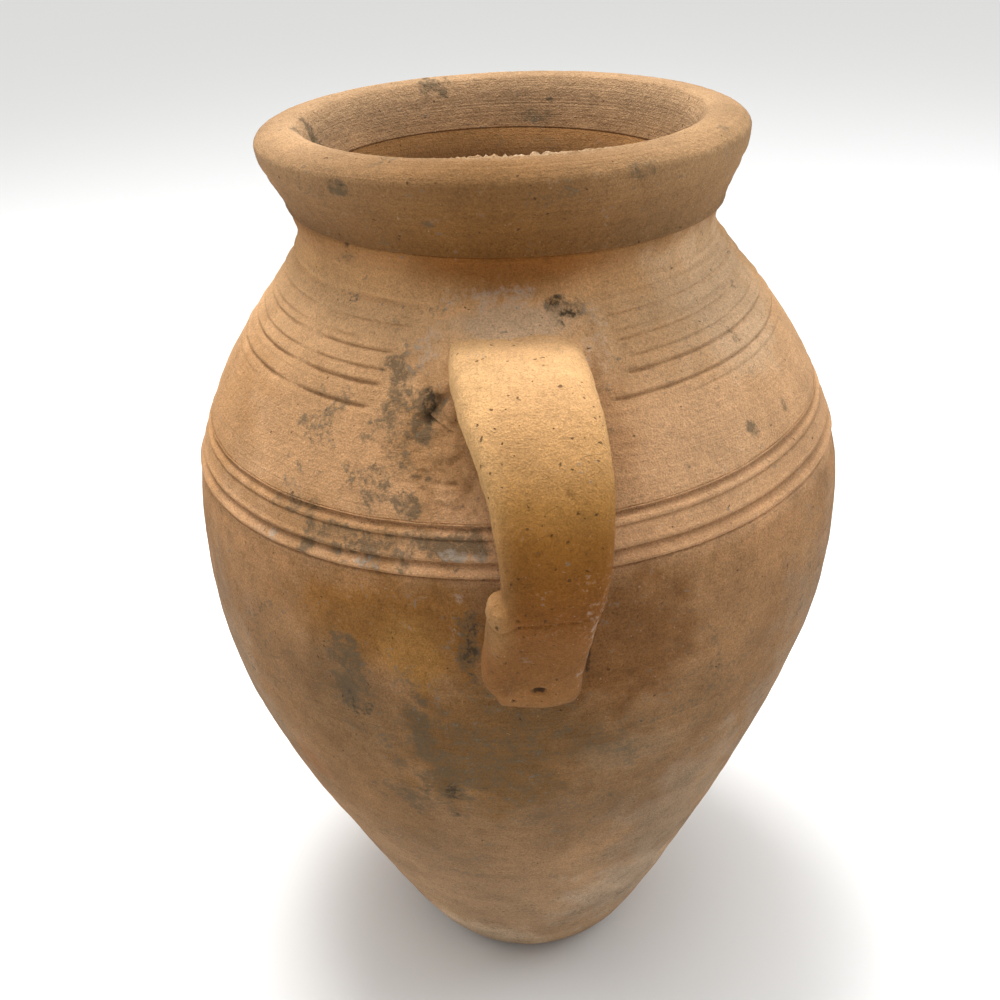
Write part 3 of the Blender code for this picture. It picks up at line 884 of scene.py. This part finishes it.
DIRT = (
    # azimuth; mm: height, half width, half height; kind, thickness, raggedness
    (-20, 302, 19, 34, SOOT, 0.48, 0.6),
    (-22, 310, 9, 16, SOOT, 0.62, 0.6),
    (-16, 306, 6, 14, SOOT, 0.7, 0.5),
    (-17, 279, 7, 5, SOOT, 0.6, 0.5),
    (-24, 283, 20, 10, SOOT, 0.48, 0.7),
    (-36, 298, 14, 18, SOOT, 0.42, 0.8),
    (-15.5, 309, 2.6, 8, BLACK, 0.55, 0.5),
    (-17.5, 322, 8, 11, WHITE, 0.46, 0.6),
    (-4, 336.5, 34, 5, WHITE, 0.4, 0.6),
    (18, 322, 8, 15, WHITE, 0.38, 0.6),
    (-24, 266, 44, 9, SOOT, 0.56, 0.7),
    (-9, 269, 18, 6, SOOT, 0.66, 0.6),
    (-38, 272, 20, 5, SOOT, 0.54, 0.7),
    (-8, 265.5, 10, 3, WHITE, 0.52, 0.6),
    (-24, 261, 12, 2, WHITE, 0.4, 0.6),
    (-8, 252.5, 6, 2.5, WHITE, 0.48, 0.6),
    (-10, 240, 4, 5, WHITE, 0.45, 0.6),
    (-44, 258.5, 9, 3, WHITE, 0.45, 0.6),
    (-28.5, 212, 11, 30, SOOT, 0.64, 0.6),
    (-27, 200, 9, 13, BLACK, 0.3, 0.6),
    (-17, 192, 9, 32, SOOT, 0.62, 0.6),
    (-14, 167, 16, 22, SOOT, 0.58, 0.6),
    (-13, 160, 5, 12, BLACK, 0.34, 0.6),
    (-21, 154, 20, 15, SOOT, 0.54, 0.7),
    (-22, 118, 8, 8, SOOT, 0.42, 0.7),
    (-8, 180, 45, 40, SOOT, 0.46, 0.7),
    (10, 190, 35, 20, SOOT, 0.42, 0.7),
    (30, 200, 30, 40, SOOT, 0.38, 0.7),
    (-7.5, 236, 6, 24, SOOT, 0.62, 0.4),
    (-7.5, 236, 3.6, 21, BLACK, 0.4, 0.5),
    (9.4, 229, 1.6, 13, BLACK, 0.6, 0.3),
    (10, 335.5, 4.2, 2.2, BLACK, 0.62, 0.5),
    (13, 331, 5, 2.6, BLACK, 0.6, 0.6),
    (12, 333, 11, 5.5, SOOT, 0.5, 0.6),
    (52, 312.4, 3.2, 3.2, SOOT, 0.58, 0.5),
    (64, 324, 2.6, 2.6, SOOT, 0.55, 0.5),
    (45, 287.7, 4, 4, SOOT, 0.58, 0.5),
    (56, 287.7, 3, 4.4, SOOT, 0.55, 0.5),
    (29, 284.2, 2.4, 2.4, SOOT, 0.55, 0.5),
    (53, 214.7, 3, 3, SOOT, 0.5, 0.5),
    (-42, 350, 2.2, 2.2, BLACK, 0.62, 0.4),
    (-42, 344, 8, 8, SOOT, 0.4, 0.7),
    (150, 290, 50, 30, SOOT, 0.45, 0.6),
    (200, 190, 40, 40, SOOT, 0.4, 0.6),
    (120, 150, 30, 40, SOOT, 0.42, 0.6),
    (235, 310, 30, 14, WHITE, 0.45, 0.6),
)


# %% Mix the shades and lay the dirt
def blended_tones(table, value):
    """Colours between the steps of a table of tones."""
    steps, colours = zip(*table)
    channels = np.array([earth(*colour) for colour in colours]).T
    return np.stack([np.interp(value, steps, channel) for channel in channels], axis=1)


def cover_of(corners, ragged, middle, level, half_width, half_height, thickness, rough):
    """How thickly one row of SHADES or DIRT lies on each corner."""
    azimuth, _, height = round_the_jar(corners)
    turn = (azimuth - middle + 180) % 360 - 180
    cover = patch(turn, height, 0, MM * level, MM * half_width, MM * half_height) + rough * ragged
    return thickness * step_up(cover, 0.0, 0.65) * (np.abs(turn) < 90)


def shaded(corners, colours):
    ragged = 0.8 * cloud(corners, 0.011, 5.5) + 0.5 * cloud(corners, 0.0045, 2.6)
    for middle, level, half_width, half_height, colour, strength, rough in SHADES:
        cover = cover_of(corners, ragged, middle, level, half_width, half_height, strength, rough)
        colours += (earth(*colour) - colours) * cover[:, None]
    return colours


def dirt_on(corners):
    """Thickness of soot, salt and black dirt. A little lies everywhere, and more below the belly."""
    height = corners[:, 2]
    ragged = 0.8 * cloud(corners, 0.007, 1.5) + 0.6 * cloud(corners, 0.003, 4.6)
    dirt = np.zeros((len(corners), 3))
    below_belly = 1 - step_up(height, 0.220, 0.262)
    dirt[:, SOOT] = 0.12 + 0.14 * below_belly + 0.15 * cloud(corners, 0.030, 7.7) + 0.17 * cloud(corners, 0.010, 3.4)
    dirt[:, WHITE] = 0.06 + 0.10 * cloud(corners, 0.026, 9.1) + 0.06 * cloud(corners, 0.008, 6.9)
    dirt[:, BLACK] = 0.02 + 0.08 * cloud(corners, 0.014, 2.2)
    for middle, level, half_width, half_height, kind, thickness, rough in DIRT:
        cover = cover_of(corners, ragged, middle, level, half_width, half_height, thickness, rough)
        dirt[:, kind] = np.maximum(dirt[:, kind], cover)
    return np.clip(dirt, 0, 1)


# %% Store it on the mesh
def store_colour(piece, name, colours):
    rgba = np.ones((len(colours), 4), dtype=np.float32)
    rgba[:, :3] = colours
    piece.data.attributes.new(name, "FLOAT_COLOR", "POINT").data.foreach_set("color", rgba.ravel())


def paint(piece, colours, dirt, line):
    """Store the colour with its painted light and shade, the dirt, and the distance along the outline for the
    wheel's lines.
    """
    store_colour(piece, "clay_tone_and_painted_light", colours)
    store_colour(piece, "dirt_cover", dirt)
    values = np.asarray(line, dtype=np.float32)
    piece.data.attributes.new("wheel_line", "FLOAT", "POINT").data.foreach_set("value", values)


def drifted(corners, colours, strength=1.0):
    drift = 1 + strength * (0.10 * cloud(corners, 0.045, 2.1) + 0.08 * cloud(corners, 0.018, 6.3))
    return colours * drift[:, None]


for piece in (lower_body, upper_body, belly_band, front_shoulder_pad, front_belly_pad,
              back_shoulder_pad, back_belly_pad):
    corners = corners_of(piece)
    tones = shaded(corners, drifted(corners, blended_tones(WALL_TONES, corners[:, 2] / MM)))
    paint(piece, tones, dirt_on(corners), corners[:, 2])

# %% Tones of the collar
RIM_TONES = (
    # degrees round the section from the seam, colour: darker towards the seam, where the flare faces down,
    # which is partly painted shade, and lighter over the lip and inside
    (-90, (116, 84, 52)),
    (-60, (146, 110, 74)),
    (0, (162, 126, 88)),
    (40, (174, 138, 100)),
    (90, (186, 150, 112)),
    (140, (190, 154, 116)),
    (205, (168, 130, 92)),
)
RIM_DIRT = (
    # azimuth, degrees round the section, half width in mm, half degrees, kind, thickness
    (-95, 150, 10, 60, SOOT, 0.6),
    (-76, 108, 8, 16, SOOT, 0.52),
    (-158, 110, 10, 30, SOOT, 0.58),
    (-176, 75, 8, 14, SOOT, 0.62),
    (168, 190, 12, 20, SOOT, 0.5),
    (163, 150, 3, 8, SOOT, 0.6),
    (-36, 28, 6, 12, SOOT, 0.6),
    (-28, 60, 5, 18, SOOT, 0.52),
    (-45, 10, 12, 30, SOOT, 0.4),
    (-17, -30, 4, 16, SOOT, 0.5),
    (11, -60, 4, 8, BLACK, 0.4),
    (10, 20, 30, 24, SOOT, 0.32),
    (28, 40, 12, 16, SOOT, 0.4),
    (60, 60, 6, 20, SOOT, 0.4),
)
corners = corners_of(collar)
azimuth, radius, _ = round_the_jar(corners)
turn = round_the_rim(corners)
tones = blended_tones(RIM_TONES, turn)
# painted shade: the front of the collar's outer face, below the lip, is darkened to a deep brown
front = (bell(azimuth, -4, 38) * (1 - step_up(turn, 70, 130)))[:, None]
tones += (earth(124, 82, 32) - tones) * 0.68 * front
# painted light: the collar's right side is lightened, as if lit from the right
right = (bell(azimuth, 56, 26) * (1 - step_up(turn, 150, 200)))[:, None]
tones += (earth(186, 146, 100) - tones) * 0.30 * right
tones = drifted(corners, tones, 1.2)
torn = np.clip(torn_edge(corners) * (0.5 + 0.9 * cloud(corners, 0.003, 7.4)), 0, 1)[:, None]
tones += (earth(206, 182, 150) - tones) * torn * 0.6
dirt = dirt_on(corners)
ragged = 0.5 * cloud(corners, 0.006, 1.5) + 0.4 * cloud(corners, 0.0028, 4.6)
for middle, level, half_width, half_turn, kind, thickness in RIM_DIRT:
    across = np.radians((azimuth - middle + 180) % 360 - 180) * radius / (MM * half_width)
    near = 1 - np.hypot(across, (turn - level) / half_turn) + ragged
    dirt[:, kind] = np.maximum(dirt[:, kind], thickness * step_up(near, 0.0, 0.65))
paint(collar, tones, dirt, turn * RIM_DEGREE)

# %% Tones of the straps
STRAP_TONES = (
    # height in mm, colour: partly the clay's tone, lighter near the top as painted light and darker lower
    # down as painted shade
    (205, (136, 97, 58)),
    (225, (146, 100, 56)),
    (252, (146, 96, 50)),
    (264, (140, 88, 38)),
    (278, (148, 94, 36)),
    (290, (160, 107, 46)),
    (300, (180, 130, 68)),
    (310, (198, 151, 95)),
    (326, (212, 168, 118)),
)
corners = corners_of(front_strap)
tones = drifted(corners, blended_tones(STRAP_TONES, corners[:, 2] / MM), 1.2)
low = 1 - step_up(corners[:, 2], 0.262, 0.300)
# painted highlight: the upper strap's left side is lightened where light catches its edge
left_edge_highlight = (step_up(-corners[:, 0], -0.001, 0.010) * step_up(corners[:, 2], 0.240, 0.262))[:, None]
tones += (earth(214, 172, 118) - tones) * 0.45 * left_edge_highlight
smoked = 0.45 * step_up(cloud(corners, 0.015, 8.6), -0.05, 0.55) * low
tones += (earth(*DEEP) - tones) * smoked[:, None]
dirt = np.zeros((len(corners), 3))
dirt[:, SOOT] = 0.02 + 0.06 * low + 0.18 * cloud(corners, 0.012, 3.4)
dirt[:, WHITE] = 0.05 + 0.10 * cloud(corners, 0.010, 6.9) + 0.26 * low * step_up(corners[:, 0], 0.012, 0.024)
deep_pits = big_pits(corners) + small_pits(corners)
dirt[:, BLACK] = 0.6 * step_up(deep_pits, 0.05, 0.4) + bell(from_the_hole(corners), 0.0, 0.0014)
for piece in (front_strap, back_strap):
    paint(piece, tones, np.clip(dirt, 0, 1), corners[:, 0])

# %% [markdown]
# ## Raw terracotta
#
# Fired clay has no gloss. Its look comes from pattern at several scales on one base colour: clouds a
# few centimetres wide, faint streaks round the wheel's axis, sand grains under a millimetre, dark
# pits and pale specks of grog. All of them read Object coordinates, and since every piece's object
# sits at the origin, the pattern runs on from one piece to the next. One function builds the node
# tree, so the wall, the collar and the straps differ only in a few numbers.

# %% Node helpers
def add_node(tree, kind, inputs, **settings):
    """Add a node, set its options, and fill or link its inputs by name."""
    node = tree.nodes.new(kind)
    for option, value in settings.items():
        setattr(node, option, value)
    for socket, value in inputs.items():
        if isinstance(value, bpy.types.NodeSocket):
            tree.links.new(value, node.inputs[socket])
        else:
            node.inputs[socket].default_value = value
    return node


def rescaled(tree, value, low, high, to_low, to_high):
    """Map low..high to to_low..to_high, clamped."""
    ends = {"Value": value, "From Min": low, "From Max": high, "To Min": to_low, "To Max": to_high}
    return add_node(tree, "ShaderNodeMapRange", ends).outputs["Result"]


def math_node(tree, operation, first, second):
    return add_node(tree, "ShaderNodeMath", {0: first, 1: second}, operation=operation).outputs[0]


def noise_node(tree, place, scale, detail):
    fields = {"Vector": place, "Scale": scale, "Detail": detail, "Roughness": 0.6}
    return add_node(tree, "ShaderNodeTexNoise", fields).outputs["Fac"]


def flecks(tree, place, scale, level):
    """Small irregular spots: only the noise's highest peaks."""
    return rescaled(tree, noise_node(tree, place, scale, 1.0), level, level + 0.035, 0.0, 1.0)


def mixed(tree, blend, amount, first, second):
    node = add_node(tree, "ShaderNodeMix", {}, data_type="RGBA", blend_type=blend)
    for place, value in ((0, amount), (6, first), (7, second)):
        if isinstance(value, bpy.types.NodeSocket):
            tree.links.new(value, node.inputs[place])
        else:
            node.inputs[place].default_value = value
    return node.outputs[2]


# %% Clay material
DIRT_LOOKS = (
    # channel of dirt_cover, colour, how much of the clay it hides
    ("Red", (0.112, 0.088, 0.054, 1), 0.72),
    ("Green", (0.58, 0.50, 0.41, 1), 0.50),
    ("Blue", (0.035, 0.025, 0.015, 1), 0.80),
)
NOISE_RANGE = (0.30, 0.70)        # nearly all of a noise texture's values lie in here
LINES_PER_METRE = 900.0
BUMP_DEPTH = 0.0014
GROG = (0.66, 0.52, 0.38, 1)
PIT = (0.085, 0.048, 0.022, 1)


def clay(name, mottle, streak, grain, pit_level):
    """Raw clay over the stored tones. The numbers say how strong each scale of pattern is."""
    material = bpy.data.materials.new(name)
    material.use_nodes = True
    tree = material.node_tree
    shader = tree.nodes["Principled BSDF"]
    place = add_node(tree, "ShaderNodeTexCoord", {}).outputs["Object"]
    tone = add_node(tree, "ShaderNodeAttribute", {}, attribute_name="clay_tone_and_painted_light").outputs["Color"]
    cover = add_node(tree, "ShaderNodeAttribute", {}, attribute_name="dirt_cover").outputs["Color"]
    line = add_node(tree, "ShaderNodeAttribute", {}, attribute_name="wheel_line").outputs["Fac"]
    flat = add_node(tree, "ShaderNodeSeparateXYZ", {"Vector": place})
    drawn = add_node(tree, "ShaderNodeCombineXYZ", {
        "X": math_node(tree, "MULTIPLY", flat.outputs["X"], 5.0),
        "Y": math_node(tree, "MULTIPLY", flat.outputs["Y"], 5.0),
        "Z": math_node(tree, "MULTIPLY", line, LINES_PER_METRE)}).outputs[0]

    clouds = noise_node(tree, place, 30.0, 6.0)
    blotches = noise_node(tree, place, 170.0, 5.0)
    streaks = noise_node(tree, drawn, 1.0, 3.0)
    sand = noise_node(tree, place, 1700.0, 3.0)
    grit = noise_node(tree, place, 620.0, 4.0)
    holes = flecks(tree, place, 460.0, pit_level)
    grog = flecks(tree, place, 800.0, 0.735)

    light = rescaled(tree, clouds, *NOISE_RANGE, 1 - mottle, 1 + mottle)
    shades = ((blotches, 0.8 * mottle), (streaks, streak), (sand, grain), (grit, 0.45 * grain))
    for pattern, strength in shades:
        swing = rescaled(tree, pattern, *NOISE_RANGE, 1 - strength, 1 + strength)
        light = math_node(tree, "MULTIPLY", light, swing)
    shade = add_node(tree, "ShaderNodeCombineColor", {"Red": light, "Green": light, "Blue": light}).outputs[0]
    colour = mixed(tree, "MULTIPLY", 1.0, tone, shade)
    colour = mixed(tree, "MIX", math_node(tree, "MULTIPLY", grog, 0.25), colour, GROG)
    colour = mixed(tree, "MIX", math_node(tree, "MULTIPLY", holes, 0.70), colour, PIT)

    broken = math_node(tree, "ADD", rescaled(tree, grit, *NOISE_RANGE, 0.0, 0.55),
                       rescaled(tree, blotches, 0.28, 0.72, 0.0, 0.45))
    channels = add_node(tree, "ShaderNodeSeparateColor", {"Color": cover})
    for channel, dirt_colour, hides in DIRT_LOOKS:
        piled = math_node(tree, "ADD", broken, channels.outputs[channel])
        colour = mixed(tree, "MIX", rescaled(tree, piled, 0.80, 1.16, 0.0, hides), colour, dirt_colour)
    tree.links.new(colour, shader.inputs["Base Color"])

    height = math_node(tree, "MULTIPLY", sand, 0.42)
    for pattern, strength in ((blotches, 0.75), (grit, 0.34), (streaks, 6.0 * streak), (holes, -1.2)):
        height = math_node(tree, "ADD", height, math_node(tree, "MULTIPLY", pattern, strength))
    bump = add_node(tree, "ShaderNodeBump", {"Height": height, "Strength": 1.0, "Distance": BUMP_DEPTH})
    tree.links.new(bump.outputs["Normal"], shader.inputs["Normal"])
    tree.links.new(rescaled(tree, blotches, *NOISE_RANGE, 0.86, 0.98), shader.inputs["Roughness"])
    shader.inputs["Specular IOR Level"].default_value = 0.12
    shader.inputs["Diffuse Roughness"].default_value = 0.5
    return material


wall_clay = clay("thrown_wall_clay", 0.10, 0.045, 0.24, 0.77)
smoked_clay = clay("smoked_lower_clay", 0.20, 0.055, 0.30, 0.76)
band_clay = clay("combed_band_clay", 0.11, 0.045, 0.24, 0.77)
rim_clay = clay("rolled_rim_clay", 0.11, 0.050, 0.26, 0.75)
strap_surface_clay = clay("pulled_strap_clay", 0.10, 0.030, 0.22, 0.725)
pad_clay = clay("thumbed_joint_clay", 0.12, 0.030, 0.24, 0.75)

# %% [markdown]
# ## Put the pieces on the frame
#
# Each finished piece rides on the jar's one body, hides the plain solid that it replaces, and takes
# the material listed beside it.

# %% Hand the pieces over
PIECES = (
    # piece, plain solid it stands for, slot, material
    (lower_body, "lower_body", "terracotta", smoked_clay),
    (upper_body, "upper_body", "terracotta", wall_clay),
    (belly_band, "belly_band", "terracotta", band_clay),
    (collar, "collar", "terracotta", rim_clay),
    (front_strap, "front_handle", "strap_clay", strap_surface_clay),
    (front_shoulder_pad, "front_shoulder_pad", "terracotta", pad_clay),
    (front_belly_pad, "front_belly_pad", "terracotta", smoked_clay),
    (back_strap, "back_handle", "strap_clay", strap_surface_clay),
    (back_shoulder_pad, "back_shoulder_pad", "terracotta", pad_clay),
    (back_belly_pad, "back_belly_pad", "terracotta", smoked_clay),
)
for piece, solid, slot, material in PIECES:
    piece.data.materials.append(material)
    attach(piece, "root")
    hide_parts(solid)
print("pieces:", len(PIECES), "triangles:", sum(2 * len(row[0].data.polygons) for row in PIECES))

# %% [markdown]
# ## Floor and light
#
# The jar stands on a plain pale floor. Matt clay wants big soft lights: one overhead and a little
# behind, which lights the shoulder and rim, one at each side to draw the outline, and a weak one in
# front. A broad sun and a pale world fill the shadows, and the world is brighter where it is seen
# past the floor than where it only lights the clay.

# %% Floor
FLOOR_REACH = 15.0
floor_shape = bmesh.new()
bmesh.ops.create_grid(floor_shape, x_segments=1, y_segments=1, size=FLOOR_REACH)
floor = finished("floor", floor_shape)
floor_paint = bpy.data.materials.new("pale_floor")
floor_paint.use_nodes = True
floor_shader = floor_paint.node_tree.nodes["Principled BSDF"]
floor_shader.inputs["Base Color"].default_value = (0.86, 0.86, 0.85, 1)
floor_shader.inputs["Roughness"].default_value = 0.9
floor_shader.inputs["Specular IOR Level"].default_value = 0.1
floor.data.materials.append(floor_paint)

# %% Lights
LIGHTS = (
    # name, place, size, power, colour
    ("overhead", (-0.15, 0.20, 1.50), 0.55, 18.0, (1.0, 1.0, 1.0)),
    ("left_side", (-1.30, 0.45, 0.70), 0.9, 5.5, (0.95, 0.97, 1.0)),
    ("right_side", (1.30, 0.35, 0.75), 0.9, 9.0, (0.90, 0.95, 1.0)),
    ("front_fill", (0.0, -1.70, 1.10), 1.2, 2.5, (1.0, 0.97, 0.93)),
)
LIT_POINT = Vector((0, 0, 0.2))
WORLD_LIGHT = 0.30
WORLD_SEEN = 0.80
for name, place, size, power, colour in LIGHTS:
    lamp = bpy.data.lights.new(name, "AREA")
    lamp.size = size
    lamp.energy = power
    lamp.color = colour
    light = bpy.data.objects.new(name, lamp)
    aim = LIT_POINT - Vector(place)
    light.matrix_world = Matrix.Translation(place) @ aim.to_track_quat("-Z", "Y").to_matrix().to_4x4()
    bpy.context.scene.collection.objects.link(light)

sky = bpy.data.lights.new("sky_panel", "SUN")
sky.energy = 1.7
sky.angle = math.radians(50)
bpy.context.scene.collection.objects.link(bpy.data.objects.new("sky_panel", sky))

world = bpy.data.worlds.new("studio")
world.use_nodes = True
backdrop = world.node_tree.nodes["Background"]
backdrop.inputs["Color"].default_value = (1, 1, 1, 1)
seen = add_node(world.node_tree, "ShaderNodeLightPath", {}).outputs["Is Camera Ray"]
brightness = rescaled(world.node_tree, seen, 0.0, 1.0, WORLD_LIGHT, WORLD_SEEN)
world.node_tree.links.new(brightness, backdrop.inputs["Strength"])
bpy.context.scene.world = world
bpy.context.scene.view_settings.view_transform = "Standard"
